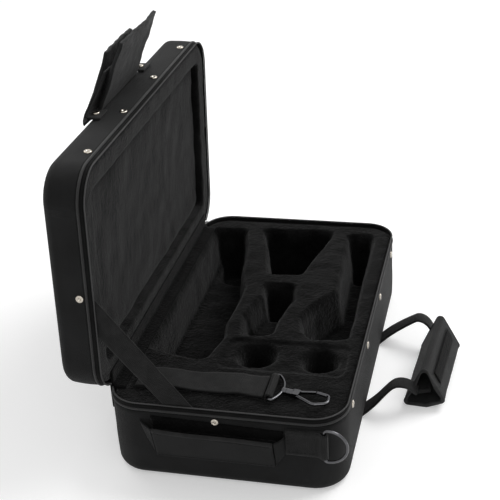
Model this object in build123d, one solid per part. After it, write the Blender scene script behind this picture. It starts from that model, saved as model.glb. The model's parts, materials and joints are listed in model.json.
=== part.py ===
from build123d import *
import math
import os

# A soft-sided clarinet case, standing open. Millimetres, +Z up, origin at the centre of
# the base's bottom face. The hinge runs along Y on the -X side, the handles are on the
# +X side, and the accessory pocket is on the near end, -Y.

# ---- driving dimensions -------------------------------------------------------------
case_width = 208.0
case_length = 360.0
base_height = 77.0          # floor to the parting plane, halfway through the zipper
lid_depth = 38.0
corner_radius = 30.0
edge_radius = 9.0
wall = 5.0
open_angle = 88.0
hinge_inset = 1.0           # hinge line, in from the hinge face
hinge_lift = 1.0            # hinge line, above the parting plane

zipper_half = 8.0           # half of the zipper band: piping, tape and coil
piping_height = 2.6
piping_proud = 0.8
piping_depth = 2.4
tape_inset = 0.4
tape_thickness = 1.2
coil_height = 1.8
coil_proud = 0.2
coil_width = 1.8
coil_gap = 0.2              # each coil stops this far from the parting plane
zipper_end_angle = 17.0     # how far round the hinge corners the zipper starts

fit_gap = 0.3               # soft pieces lie this far from rigid neighbours
insert_depth = 5.0          # insert top, below the parting plane
insert_lip = 2.7
lip_clearance = 1.2         # lip to zipper tape, where the stay is sewn in

well_edge = 3.0             # rolled edge of each well
well_edge_drop = 6.0
well_draft = 4.0
well_corner = 9.0
tray_floor = 30.0
pocket_floor = 14.0
bell_floor = 10.0
centre_floor = 20.0
saddle_floor = 47.0
lower_floor = 24.0
socket_floor = 8.0
socket_step = 2.0
socket_a_radius = 20.0
socket_b_radius = 18.5

lining_border = 23.0        # width of the lid's lining border, from the outside
lining_lip_depth = 2.5      # lid lining lip, above the parting plane
lining_recess = 7.0

rivet_head_radius = 3.5
rivet_head_height = 1.6
rivet_rounding = 0.7        # share of the head's height that is rounded off
rivet_dimple_radius = 1.6
rivet_dimple_depth = 0.7
rivet_shank_radius = 1.5
rivet_hole_clearance = 0.1
rivet_inner_row = 44.0
rivet_end_margin = 47.0     # outer rivets, in from the case's ends
rivet_near_margin = 43.5    # the base's near one
rivet_end_offset = -5.5
rivet_below_rim = 12.6
rivet_above_rim = 12.6

strip_thickness = 1.2
strip_end_gap = 2.77        # strip end to zipper end
strip_base_length = 16.0
strip_bend_radius = 8.1
strip_lid_length = 13.0
lining_overlap = 12.0

pocket_centre = -7.0
pocket_width = 104.0
pocket_height = 33.0
pocket_bottom = 24.5
pocket_lean = 15.0
pocket_thickness = 2.0
pocket_foot_gap = 0.4
gusset_flare = 7.5
gusset_rise = 3.0

ring_wire_radius = 1.3
ring_half_height = 15.3
ring_reach = 19.0
ring_corner = 2.4
ring_inset_near = 16.0      # ring bar, in from the handle side
ring_inset_far = 43.0
ring_z = 53.0
tab_length = 33.0
tab_width = 25.0
tab_layer = 1.65
tab_bore_clearance = 0.35

handle_strap_width = 22.0
handle_strap_thickness = 2.0
handle_half_span = 62.0
handle_centre_y = 4.5       # middle of both handles
handle_foot_angle = 45.6    # down the base's rounded lower edge, where the webbing starts
strap_rise = (9.3, 12.5)    # from the base's face and floor
strap_hump = ((26.0, 9.5), (18.0, 16.0), (7.0, 12.5))   # back from the seat and up
strap_bend = 3.0
strap_seat_gap = 0.9
strap_seat_back = 2.3
handle_yaw = 4.3
handle_reach = 54.0         # case side to the grip's centre
grip_z = 15.0
grip_tilt = -16.0
grip_width = 15.0           # webbing folded double inside the base wrap
grip_thickness = 4.8
wrap_thickness = 3.5
wrap_length = 94.0
lid_wrap_length = 96.0
wrap_corner = 4.0
wrap_floor_gap = 0.4
wrap_foot = 35.5            # wrap section: out from the case side, and up
wrap_heel = 59.0
wrap_toe = (77.0, 8.5)
wrap_apex = (55.5, 47.0)
binding_width = 3.0
binding_proud = 0.6
flap_width = 12.0
flap_thickness = 1.2
flap_margin = 8.0

bar_thickness = 2.4         # the lid handle, measured from the open lid's upper edge
lid_wrap_outer_top = (4.75, 43.8)   # out from the edge and up
lid_wrap_fold_low = 0.15
lid_wrap_fold_high = 5.15
lid_wrap_inner_top = (29.75, 60.8)
lid_wrap_bend = 2.1
lid_grip_rise = 26.0        # up the inner leg, to the webbing's middle
lid_strap_rise = 34.0
lid_foot_in = 12.0          # strap foot, from its end to the fold over the edge
lid_foot_out = 1.5
lid_foot_bend = 2.2
lid_rivet_inset = 5.4
lid_rivet_radius = 3.2

stay_thickness = 0.9
stay_foot_x = -46.8
stay_foot_run = 25.0
stay_reach = 101.0          # lid end, out from the hinge line
stay_run = 35.5
stay_tuck = 2.0

strap_width = 30.0
strap_thickness = 1.6
strap_from_end = 41.0       # strap centre, in from the near end
strap_fold_x = -84.0
strap_end_x = -34.0
loop_x = 35.2
loop_outer_radius = 3.6
loop_length = 33.0
loop_bore_clearance = 0.3
fold_gap = 0.7
eye_wire_radius = 1.35
eye_half_height = 21.5
eye_reach = 10.65
eye_corner = 2.4
eye_drop = 4.0              # swivel, down the eye's bow from its middle
hook_angle = -13.0
hook_wire_radius = 1.5
hook_start = (2.0, -2.0)    # from the barrel's end
hook_route = ((30.0, -9.5), (41.5, -3.5), (38.5, 6.5), (27.5, 7.6))
hook_bends = (6.0, 5.0, 3.5)
collar_radius = 2.9
collar_length = 2.4
barrel_radius = 3.0
barrel_length = 6.0
neck_length = 6.0
neck_width = 7.6
neck_half = 2.2
neck_sink = 0.4             # neck, into the barrel's end
neck_drop = 0.2
slot_width = 5.0
slot_setback = 0.4
swivel_gap = 0.3
swivel_pin_radius = 1.2
swivel_clearance = 0.05
gate_thickness = 2.0
gate_half = 1.1
gate_angle = 18.3
gate_length = 15.7
gate_pivot = (2.9, 2.3)     # from the barrel's end
gate_root_radius = 1.8
gate_pin_radius = 0.8

slider_width = 8.0
slider_depth = 4.0
slider_height = 5.4
pull_length = 22.0
pull_thickness = 1.2
pull_pin_radius = 0.8
pull_clearance = 0.05
ear_thickness = 1.0
ear_inset = 1.0
ear_length = 3.5
ear_height = 3.0
ear_drop = 1.0
ear_sink = 0.5              # ears, into the slider's body
pull_reach = 1.6            # pull's pin, out from the slider's body
slider_corner = 1.2
slider_turn = 5.0           # slider, along the corner from the zipper's end, degrees

# ---- derived places -----------------------------------------------------------------
half_width = case_width / 2
half_length = case_length / 2
hinge_x = -half_width + hinge_inset
hinge_z = base_height + hinge_lift
hinge_line = Axis((hinge_x, 0, hinge_z), (0, 1, 0))
base_rim = base_height - zipper_half
lid_rim = base_height + zipper_half
lid_top = base_height + lid_depth
insert_top = base_height - insert_depth
lip_inset = tape_inset + tape_thickness + lip_clearance
lining_lip = base_height + lining_lip_depth
panel_z = insert_top + 2 * insert_depth + lining_recess - lining_lip_depth
corner_y = half_length - corner_radius
zipper_end_y = corner_y + corner_radius * math.sin(math.radians(zipper_end_angle))
strip_half_length = zipper_end_y - strip_end_gap
strap_y = -half_length + strap_from_end
handle_x = half_width + handle_reach


def opened(shape):
    """Turns a lid piece from its closed place to the open rest pose."""
    return shape.rotate(hinge_line, -open_angle)


def opened_point(x, z):
    """The same turn for a point in the XZ plane."""
    angle = math.radians(open_angle)
    dx = x - hinge_x
    dz = z - hinge_z
    turned_x = hinge_x + dx * math.cos(angle) - dz * math.sin(angle)
    turned_z = hinge_z + dx * math.sin(angle) + dz * math.cos(angle)
    return (turned_x, turned_z)


def outline(grow):
    """The case's plan outline, grown by an offset (negative is inwards)."""
    return RectangleRounded(
        case_width + 2 * grow, case_length + 2 * grow, corner_radius + grow
    )


def slab(grow, low, high):
    return Pos(0, 0, low) * extrude(outline(grow), high - low)


def ring(outer, inner, low, high):
    return slab(outer, low, high) - slab(inner, low - 1, high + 1)


def three_sides(shape):
    """Leaves a ring on three sides: nothing between its two ends on the hinge side."""
    gap = Box(2 * corner_radius, 2 * zipper_end_y, 4 * base_height)
    return shape - Pos(-half_width, 0, base_height) * gap


def rivet_places(level, near_margin):
    """Head centres and outward directions: four on the handle side, one on each end."""
    places = []
    outer = half_length - rivet_end_margin
    for row in (near_margin - half_length, -rivet_inner_row, rivet_inner_row, outer):
        places.append(Plane((half_width, row, level), z_dir=(1, 0, 0)))
    for side in (-1, 1):
        origin = (rivet_end_offset, side * half_length, level)
        places.append(Plane(origin, z_dir=(0, side, 0)))
    return places


def rivet_head(radius):
    head = Cylinder(radius, rivet_head_height, align=(Align.CENTER, Align.CENTER, Align.MIN))
    return fillet(head.faces().sort_by(Axis.Z)[-1].edges(), rivet_head_height * rivet_rounding)


def rivet():
    dimple = Cone(
        rivet_dimple_radius * 0.5,
        rivet_dimple_radius,
        rivet_dimple_depth,
        align=(Align.CENTER, Align.CENTER, Align.MAX),
    )
    shank = Cylinder(rivet_shank_radius, wall, align=(Align.CENTER, Align.CENTER, Align.MAX))
    return rivet_head(rivet_head_radius) + shank - Pos(0, 0, rivet_head_height) * dimple


def rivet_holes(level, near_margin):
    drill = Cylinder(rivet_shank_radius + rivet_hole_clearance, 3 * wall)
    return [place * drill for place in rivet_places(level, near_margin)]


def rivets(level, near_margin):
    return Compound(children=[place * rivet() for place in rivet_places(level, near_margin)])


# ---- base ---------------------------------------------------------------------------
def base_shell():
    body = slab(0, 0, base_rim)
    body = fillet(body.faces().sort_by(Axis.Z)[0].edges(), edge_radius)
    body -= slab(-wall, wall, base_rim + 1)
    return body - rivet_holes(base_height - rivet_below_rim, rivet_near_margin)


def zipper_half_band(rim, up):
    """Piping, tape and coil from a board rim towards the parting plane."""
    sign = 1 if up else -1
    levels = [rim, rim + sign * piping_height]
    levels.append(base_height - sign * (coil_gap + coil_height))
    levels.append(base_height - sign * coil_gap)
    spans = [sorted(levels[i:i + 2]) for i in range(3)]
    piping = ring(piping_proud, -piping_depth, *spans[0])
    tape = ring(-tape_inset, -tape_inset - tape_thickness, *spans[1])
    coil = ring(coil_proud, coil_proud - coil_width, *spans[2])
    return [three_sides(piece) for piece in (piping, tape, coil)]


def well_outline(points, corner):
    face = make_face(Polyline(*points, close=True))
    return fillet(face.vertices(), corner)


def well(face, floor, top=insert_top):
    """A lined well: rolled upper edge, slightly drafted walls and a flat floor."""
    shoulder = offset(face, -well_edge)
    bottom = offset(shoulder, -well_draft)
    upper = loft([Pos(0, 0, top - well_edge_drop) * shoulder, Pos(0, 0, top) * face], ruled=True)
    lower = loft([Pos(0, 0, floor) * bottom, Pos(0, 0, top - well_edge_drop) * shoulder], ruled=True)
    mouth = Pos(0, 0, top) * extrude(face, 2 * insert_depth)
    return lower + upper + mouth


def insert_wells():
    left_tray = [
        (-93, 157), (-55, 160), (-43, 109), (-38, 65), (-28, 36), (-27.5, 15),
        (-30, -33), (-26, -59), (-35, -101), (-59, -97), (-93, -88),
    ]
    left_pocket = [(-90, 154), (-57, 157), (-46, 106), (-56, 98), (-73, 104), (-89, 118)]
    bell = [(-41, 162), (42, 166), (38.7, 144), (29.5, 104), (23, 64), (-14.5, 62.5), (-28.5, 124)]
    centre = [(-15, 46), (21, 46.5), (27.5, 10), (-6, 6)]
    saddle = [(-10, 22), (25, 24), (18, -26), (-20, -26)]
    lower = [(-21, -12), (18.6, -10), (17, -52), (-15, -56)]
    right_tray = [
        (52, 160), (84, 163), (86, 148), (87, 60), (89, -14), (89, -46), (79, -52),
        (53, -54), (40, -39), (35, -17), (42, 7), (61, 39), (55, 146),
    ]
    right_pocket = [(54, 157), (82, 159), (84, 121), (73, 117), (58, 122)]
    wells = [
        well(well_outline(left_tray, well_corner), tray_floor),
        well(well_outline(left_pocket, well_corner), pocket_floor),
        well(well_outline(bell, well_corner), bell_floor),
        well(well_outline(centre, well_corner), centre_floor),
        well(well_outline(saddle, well_corner), saddle_floor),
        well(well_outline(lower, well_corner), lower_floor),
        well(well_outline(right_tray, well_corner), tray_floor),
        well(well_outline(right_pocket, well_corner), pocket_floor),
    ]
    step = well_outline([(-20, -60), (93, -60), (93, -110), (-24, -110)], well_corner)
    wells.append(Pos(0, 0, insert_top - socket_step) * extrude(step, 2 * insert_depth))
    for x, y, radius in ((9, -83.5, socket_a_radius), (67.7, -85, socket_b_radius)):
        wells.append(well(Pos(x, y) * Circle(radius), socket_floor, insert_top - socket_step))
    return wells


def base_insert():
    block = slab(-wall - fit_gap, wall + fit_gap, insert_top)
    block += slab(-lip_inset, insert_top - insert_lip, insert_top)
    for cutter in insert_wells():
        block -= cutter
    return block


# ---- lid, built closed and then opened ------------------------------------------------
def lid_shell():
    body = slab(0, lid_rim, lid_top)
    body = fillet(body.faces().sort_by(Axis.Z)[-1].edges(), edge_radius)
    body -= slab(-wall, lid_rim - 1, lid_top - wall)
    return body - rivet_holes(base_height + rivet_above_rim, rivet_end_margin)


def lid_lining_border():
    ceiling = lid_top - wall - fit_gap
    border = slab(-wall - fit_gap, lining_lip, ceiling)
    border += slab(-lip_inset, lining_lip, lid_rim - fit_gap)
    return border - slab(-lining_border, lining_lip - 1, ceiling + 1)


def lid_lining_panel():
    return slab(-lining_border - fit_gap, panel_z, lid_top - wall - fit_gap)


# ---- hinge --------------------------------------------------------------------------
def strip_along(path, thickness, half):
    """A flat band whose profile follows a path in the XZ plane, centred on Y = 0."""
    face = trace(path, thickness)
    return extrude(Plane.XZ * face, half, both=True)


def hinge_strip():
    """The outer cloth hinge: down the base's face, round the fold, under the lid's."""
    half = strip_thickness / 2
    base_x = -half_width - fit_gap - half
    lid_x, lid_z = opened_point(-half_width, lid_rim)
    lid_z -= fit_gap + half
    lower = (base_x, lid_z - strip_bend_radius - strip_base_length)
    corner = (base_x, lid_z)
    upper = (base_x - strip_bend_radius - strip_lid_length, lid_z)
    path = FilletPolyline(lower, corner, upper, radius=strip_bend_radius)
    return strip_along(path, strip_thickness, strip_half_length)


def hinge_lining():
    """The inner cloth hinge, from the insert's lip to the lid's lining border."""
    half = strip_thickness / 2
    level = insert_top + fit_gap + half
    top = opened_point(-half_width + lining_overlap, lining_lip - fit_gap - half)
    corner = (opened_point(-half_width, lining_lip - fit_gap - half)[0], level)
    start = (corner[0] + lining_overlap, level)
    path = FilletPolyline(start, corner, top, radius=strip_bend_radius / 2)
    return strip_along(path, strip_thickness, strip_half_length)


# ---- pocket on the near end -----------------------------------------------------------
pocket_plane = Plane(
    (pocket_centre, -half_length - pocket_foot_gap, pocket_bottom),
    x_dir=(1, 0, 0),
    z_dir=(0, -math.cos(math.radians(pocket_lean)), -math.sin(math.radians(pocket_lean))),
)


def pocket_panel():
    face = Rectangle(pocket_width, pocket_height, align=(Align.CENTER, Align.MIN))
    return pocket_plane * extrude(face, pocket_thickness)


def pocket_binding():
    """The bound upper edge of the pocket."""
    face = Rectangle(pocket_width, binding_width)
    bar = extrude(face, pocket_thickness + binding_proud)
    return pocket_plane * Pos(0, pocket_height + binding_width / 2, 0) * bar


def pocket_gusset(side):
    """The folded cloth side: a thin triangle from the case face to the panel's edge."""
    lean = math.radians(pocket_lean)
    reach = pocket_height * math.sin(lean)
    rise = pocket_height * math.cos(lean)
    x = pocket_centre + side * (pocket_width / 2 + fit_gap)
    y = -half_length - fit_gap
    z = pocket_bottom
    flare = side * gusset_flare
    foot = (x, y, z + gusset_rise)
    outer = (x, y - reach, z + rise)
    inner = (x + flare, y, z + rise + gusset_rise)
    face = make_face(Polyline(foot, outer, inner, close=True))
    return extrude(face, strip_thickness, dir=(side, 0, 0))


# ---- D-rings ------------------------------------------------------------------------
def d_loop(half_height, reach, corner, wire):
    """A closed D of round wire in the XY plane: bar along Y at X = 0, bow towards +X."""
    bow = ThreePointArc((0, half_height), (reach, 0), (0, -half_height))
    bar = Line((0, -half_height), (0, half_height))
    face = fillet(make_face([bow, bar]).vertices(), corner)
    path = face.wire()
    section = Plane(path @ 0, z_dir=path % 0) * Circle(wire)
    return sweep(section, path=path)


def ring_bar(side):
    """Plan position of a ring's bar, inside its webbing tab."""
    inset = ring_inset_near if side < 0 else ring_inset_far
    out = half_length + fit_gap + tab_layer + ring_wire_radius + tab_bore_clearance
    return (half_width - inset, side * out)


def d_ring(side):
    x, y = ring_bar(side)
    loop = d_loop(ring_half_height, ring_reach, ring_corner, ring_wire_radius)
    return Plane((x, y, ring_z), x_dir=(1, 0, 0), z_dir=(0, -1, 0)) * loop


def d_ring_tab(side):
    """Webbing folded round the ring's bar and sewn flat to the case's end."""
    x, y = ring_bar(side)
    bore = ring_wire_radius + tab_bore_clearance
    inner = side * (half_length + fit_gap)
    plate = Rectangle(tab_length, 2 * tab_layer)
    plate = Pos(x - tab_length / 2, inner + side * tab_layer) * plate
    face = plate + Pos(x, y) * Circle(bore + tab_layer) - Pos(x, y) * Circle(bore)
    return Pos(0, 0, ring_z - tab_width / 2) * extrude(face, tab_width)


# ---- base handle ----------------------------------------------------------------------
def ribbon(points, thickness, width, centre_y, radius):
    path = FilletPolyline(*points, radius=radius)
    return Pos(0, centre_y, 0) * strip_along(path, thickness, width / 2)


def yawed(shape):
    """Turns a handle piece, drawn square to the case, to where the handle has swung."""
    return shape.rotate(Axis((handle_x, handle_centre_y, 0), (0, 0, 1)), -handle_yaw)


def strap_foot():
    """Where a webbing end leaves the base's rounded lower edge."""
    angle = math.radians(handle_foot_angle)
    reach = edge_radius + fit_gap + handle_strap_thickness / 2
    x = half_width - edge_radius + reach * math.cos(angle)
    return (x, edge_radius - reach * math.sin(angle))


def strap_seat(side):
    """Where a webbing end comes down on the grip's upper face."""
    tilt = math.radians(grip_tilt)
    rise = grip_thickness / 2 + strap_seat_gap
    x = handle_x + side * handle_half_span * math.sin(math.radians(handle_yaw))
    x += rise * math.sin(tilt) - strap_seat_back * math.cos(tilt)
    return (x, grip_z + rise * math.cos(tilt) + strap_seat_back * math.sin(tilt))


def base_handle_straps():
    """The two webbing ends, from the base's lower edge up and over to the grip."""
    pieces = []
    for side in (-1, 1):
        seat_x, seat_z = strap_seat(side)
        points = [strap_foot(), (half_width + strap_rise[0], strap_rise[1])]
        for back, up in strap_hump:
            points.append((seat_x - back, seat_z + up))
        points.append((seat_x, seat_z))
        centre = handle_centre_y + side * handle_half_span
        strap = ribbon(points, handle_strap_thickness, handle_strap_width, centre, strap_bend)
        pieces.append(strap)
    return Compound(children=pieces)


def wrap_corners():
    """The wrap's section, flat on the floor with its apex up: corners in the XZ plane."""
    return [
        (half_width + wrap_foot, wrap_floor_gap),
        (half_width + wrap_heel, wrap_floor_gap),
        (half_width + wrap_toe[0], wrap_toe[1]),
        (half_width + wrap_apex[0], wrap_apex[1]),
    ]


def wrap_face():
    return fillet(make_face(Polyline(*wrap_corners(), close=True)).vertices(), wrap_corner)


def handle_wrap():
    tube = wrap_face() - offset(wrap_face(), -wrap_thickness)
    tube = extrude(Plane.XZ * tube, wrap_length / 2, both=True)
    return yawed(Pos(0, handle_centre_y, 0) * tube)


def handle_bar():
    """The webbing grip inside the wrap."""
    bar = Box(grip_width, 2 * handle_half_span + handle_strap_width, grip_thickness)
    return yawed(Pos(handle_x, handle_centre_y, grip_z) * Rot(0, grip_tilt, 0) * bar)


def handle_wrap_binding():
    """The bound ends of the wrap, one loop of tape at each end."""
    outer = offset(wrap_face(), binding_proud)
    loop = outer - offset(wrap_face(), -wrap_thickness)
    pieces = []
    for side in (-1, 1):
        centre = side * (wrap_length / 2 + binding_width / 2)
        band = extrude(Plane.XZ * loop, binding_width / 2, both=True)
        pieces.append(yawed(Pos(0, handle_centre_y + centre, binding_proud) * band))
    return Compound(children=pieces)


def handle_wrap_tab():
    """The hook-and-loop flap that closes the wrap, on its outer slope."""
    toe, apex = wrap_corners()[2:]
    low = Vector(toe[0], 0, toe[1])
    high = Vector(apex[0], 0, apex[1])
    along = (high - low).normalized()
    outward = Vector(along.Z, 0, -along.X)
    centre = (low + high) * 0.5 + outward * (fit_gap / 2) + Vector(0, handle_centre_y, 0)
    place = Plane(centre, x_dir=along, z_dir=outward)
    flap = Rectangle(flap_width, wrap_length - 2 * flap_margin)
    return yawed(place * extrude(flap, flap_thickness))


# ---- lid handle, standing on the open lid ------------------------------------------------
def over_lid(out, up):
    """A place given from the open lid's upper outer corner, in the XZ plane."""
    x, z = opened_point(half_width, lid_top)
    return (x + out, z + up)


def lid_wrap_points():
    rest = fit_gap + wrap_thickness / 2
    return [
        over_lid(*lid_wrap_outer_top),
        over_lid(lid_wrap_fold_low, rest),
        over_lid(lid_wrap_fold_high, rest),
        over_lid(*lid_wrap_inner_top),
    ]


def inner_leg():
    """Foot and direction of the wrap's inner leg."""
    *_, foot, top = [Vector(*point) for point in lid_wrap_points()]
    return foot, (top - foot).normalized()


def beside_inner_leg(along, away):
    """A point up along the wrap's inner leg and away from it, towards the outer leg."""
    foot, step = inner_leg()
    point = foot + step * along + Vector(-step.Y, step.X) * away
    return (point.X, point.Y)


def lid_handle_straps():
    """Webbing ends: flat on the lid's edge, folded over it, then up beside the grip."""
    level = fit_gap + handle_strap_thickness / 2
    away = wrap_thickness / 2 + bar_thickness + handle_strap_thickness / 2 + 2 * fit_gap
    points = [
        over_lid(lid_foot_in, level),
        over_lid(-lid_foot_out, level),
        beside_inner_leg(lid_strap_rise, away),
    ]
    pieces = []
    for side in (-1, 1):
        centre = handle_centre_y + side * handle_half_span
        strap = ribbon(points, handle_strap_thickness, handle_strap_width, centre, lid_foot_bend)
        pieces.append(strap)
    return Compound(children=pieces)


def lid_handle_bar():
    """The webbing grip between the wrap's two legs."""
    x, z = beside_inner_leg(lid_grip_rise, (wrap_thickness + bar_thickness) / 2 + fit_gap)
    _, step = inner_leg()
    lean = math.degrees(math.atan2(step.X, step.Y))
    length = 2 * handle_half_span + handle_strap_width
    return Pos(x, handle_centre_y, z) * Rot(0, lean, 0) * Box(bar_thickness, length, handle_strap_width)


def lid_handle_wrap():
    """The opened-out wrap: a V of padded cloth round the webbing."""
    path = FilletPolyline(*lid_wrap_points(), radius=lid_wrap_bend)
    return Pos(0, handle_centre_y, 0) * strip_along(path, wrap_thickness, lid_wrap_length / 2)


def lid_handle_rivets():
    """One rivet through each webbing foot into the lid's edge."""
    x, z = over_lid(lid_rivet_inset, fit_gap + handle_strap_thickness)
    head = rivet_head(lid_rivet_radius)
    ends = (handle_centre_y - handle_half_span, handle_centre_y + handle_half_span)
    return Compound(children=[Pos(x, y, z) * head for y in ends])


# ---- stay ---------------------------------------------------------------------------------
def lid_stay():
    """The webbing that stops the lid, sewn between lining and zipper tape at both ends."""
    y = -half_length + (tape_inset + tape_thickness + lip_inset) / 2
    low_z = base_rim + piping_height + fit_gap / 3
    lid_level = lining_lip + stay_tuck
    upper = opened_point(hinge_x + stay_reach, lid_level)
    lower = opened_point(hinge_x + stay_reach - stay_run, lid_level)
    points = [(stay_foot_x, low_z), (stay_foot_x + stay_foot_run, low_z), upper, lower]
    face = make_face(Polyline(*points, close=True))
    return Pos(0, y, 0) * extrude(Plane.XZ * face, stay_thickness / 2, both=True)


# ---- shoulder strap and snap hook ----------------------------------------------------------
strap_level = insert_top + fit_gap + strap_thickness / 2
loop_z = insert_top + fit_gap + loop_outer_radius


def eye_bow_x(drop):
    """How far the eye's bow stands out from its bar, at a distance along the bar."""
    centre = (eye_reach ** 2 - eye_half_height ** 2) / (2 * eye_reach)
    return centre + math.sqrt((eye_reach - centre) ** 2 - drop ** 2)


hook_turn = math.radians(hook_angle)
hook_place = Plane(
    (loop_x + eye_bow_x(eye_drop) + eye_wire_radius, strap_y - eye_drop, loop_z),
    x_dir=(math.cos(hook_turn), math.sin(hook_turn), 0),
    z_dir=(0, 0, 1),
)
barrel_start = collar_length + swivel_gap
barrel_end = barrel_start + barrel_length
gate_place = hook_place * Pos(barrel_end + gate_pivot[0], gate_pivot[1], 0)
lengthwise = Rot(0, 90, 0)
standing = (Align.CENTER, Align.CENTER, Align.MIN)


def strap_webbing():
    """The end of the strap: a lower layer, a fold at its left, and the layer to the loop."""
    rise = strap_thickness + fold_gap
    points = [
        (strap_end_x, strap_level), (strap_fold_x, strap_level),
        (strap_fold_x, strap_level + rise),
        (loop_x - loop_outer_radius - fit_gap, strap_level + rise),
    ]
    return ribbon(points, strap_thickness, strap_width, strap_y, rise * 0.45)


def strap_loop():
    face = Circle(loop_outer_radius) - Circle(eye_wire_radius + loop_bore_clearance)
    place = Plane((loop_x, strap_y, loop_z), x_dir=(1, 0, 0), z_dir=(0, 1, 0))
    return place * extrude(face, loop_length / 2, both=True)


def swivel_eye():
    """The wire eye in the strap's loop, with the collar and pin that the hook turns on."""
    loop = Pos(loop_x, strap_y, loop_z) * d_loop(eye_half_height, eye_reach, eye_corner, eye_wire_radius)
    collar = Pos(-eye_wire_radius, 0, 0) * lengthwise
    collar *= Cylinder(collar_radius, collar_length + eye_wire_radius, align=standing)
    pin = lengthwise * Cylinder(swivel_pin_radius, barrel_end, align=standing)
    return loop + hook_place * (collar + pin)


def hook_body():
    """Barrel, forked neck and hook, in a frame whose X runs along the hook."""
    barrel = Pos(barrel_start, 0, 0) * lengthwise * Cylinder(barrel_radius, barrel_length, align=standing)
    bore = lengthwise * Cylinder(swivel_pin_radius + swivel_clearance, 2 * barrel_end)
    neck_x = barrel_end + neck_length / 2
    neck = Pos(neck_x - neck_sink, -neck_drop, 0) * Box(neck_length, neck_width, 2 * neck_half)
    slot = Box(neck_length, slot_width, 2 * (gate_half + swivel_gap / 2))
    slot = Pos(neck_x + slot_setback, gate_pivot[1], 0) * slot
    start = (barrel_end + hook_start[0], hook_start[1])
    path = FilletPolyline(start, *hook_route, radius=hook_bends)
    section = Plane(path @ 0, z_dir=path % 0) * Circle(hook_wire_radius)
    body = hook_place * (barrel + neck - slot + sweep(section, path=path) - bore)
    return body + gate_place * Cylinder(gate_pin_radius, 2 * neck_half)


def hook_gate():
    """The gate, turned up to the hook's nose."""
    root = Cylinder(gate_root_radius, 2 * gate_half)
    bar = Pos(gate_length / 2, 0, 0) * Box(gate_length, gate_thickness, 2 * gate_half)
    bore = Cylinder(gate_pin_radius + swivel_clearance, 4 * gate_half)
    return gate_place * Rot(0, 0, gate_angle) * (root + bar - bore)


# ---- zipper slider -----------------------------------------------------------------------------
def slider_place():
    """On the far corner's arc, beside the zipper's end; X is outwards, Y along the arc."""
    angle = math.radians(zipper_end_angle + slider_turn)
    reach = corner_radius + piping_proud + fit_gap
    x = -half_width + corner_radius - reach * math.cos(angle)
    y = corner_y + reach * math.sin(angle)
    outward = (-math.cos(angle), math.sin(angle), 0)
    return Plane((x, y, base_rim + slider_height / 2 + fit_gap), x_dir=outward, z_dir=(0, 0, 1))


def pull_axis():
    """The pull's pin, in the slider's frame."""
    return Pos(slider_depth + pull_reach, 0, -ear_drop)


def zipper_slider():
    start = (Align.MIN, Align.CENTER, Align.CENTER)
    body = Box(slider_depth, slider_width, slider_height, align=start)
    body = fillet(body.edges().filter_by(Axis.Z), slider_corner)
    for side in (-1, 1):
        middle = side * (slider_width / 2 - ear_thickness / 2 - ear_inset)
        ear = Box(ear_length, ear_thickness, ear_height, align=start)
        body += Pos(slider_depth - ear_sink, middle, -ear_drop) * ear
    pin = pull_axis() * Rot(90, 0, 0) * Cylinder(pull_pin_radius, slider_width - 2 * ear_inset)
    return slider_place() * (body + pin)


def zipper_pull():
    width = slider_width - 2 * (ear_inset + ear_thickness) - fit_gap
    turn = Rot(90, 0, 0)
    eye = turn * Cylinder(2 * pull_pin_radius, width)
    plate = Box(pull_thickness, width, pull_length, align=(Align.CENTER, Align.CENTER, Align.MAX))
    hole = turn * Cylinder(pull_pin_radius + pull_clearance, 2 * slider_width)
    return slider_place() * pull_axis() * (eye + plate - hole)


def write(name, shape):
    export_step(shape, "parts/" + name + ".step")


# ---- build ----------------------------------------------------------------------------
os.makedirs("parts", exist_ok=True)
write("base_shell", base_shell())
piping, tape, coil = zipper_half_band(base_rim, True)
write("base_piping", piping)
write("base_zipper_tape", tape)
write("base_zipper_coil", coil)
write("base_insert", base_insert())
write("base_rivets", rivets(base_height - rivet_below_rim, rivet_near_margin))
write("lid_shell", opened(lid_shell()))
piping, tape, coil = zipper_half_band(lid_rim, False)
write("lid_piping", opened(piping))
write("lid_zipper_tape", opened(tape))
write("lid_zipper_coil", opened(coil))
write("lid_lining_border", opened(lid_lining_border()))
write("lid_lining_panel", opened(lid_lining_panel()))
write("lid_rivets", opened(rivets(base_height + rivet_above_rim, rivet_end_margin)))
write("hinge_strip", hinge_strip())
write("hinge_lining", hinge_lining())
write("pocket_panel", pocket_panel())
write("pocket_binding", pocket_binding())
write("pocket_gusset_left", pocket_gusset(-1))
write("pocket_gusset_right", pocket_gusset(1))
for name, side in (("near", -1), ("far", 1)):
    write("d_ring_" + name, d_ring(side))
    write("d_ring_tab_" + name, d_ring_tab(side))
write("base_handle_straps", base_handle_straps())
write("handle_wrap", handle_wrap())
write("handle_bar", handle_bar())
write("handle_wrap_binding", handle_wrap_binding())
write("handle_wrap_tab", handle_wrap_tab())
write("lid_handle_straps", lid_handle_straps())
write("lid_handle_bar", lid_handle_bar())
write("lid_handle_wrap", lid_handle_wrap())
write("lid_handle_rivets", lid_handle_rivets())
write("lid_stay", lid_stay())
write("strap_webbing", strap_webbing())
write("strap_loop", strap_loop())
write("swivel_eye", swivel_eye())
write("hook_body", hook_body())
write("hook_gate", hook_gate())
write("zipper_slider", zipper_slider())
write("zipper_pull", zipper_pull())
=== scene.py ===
import json
import math

import bmesh
import bpy
import numpy as np
from mathutils import Matrix, Vector, noise


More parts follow.
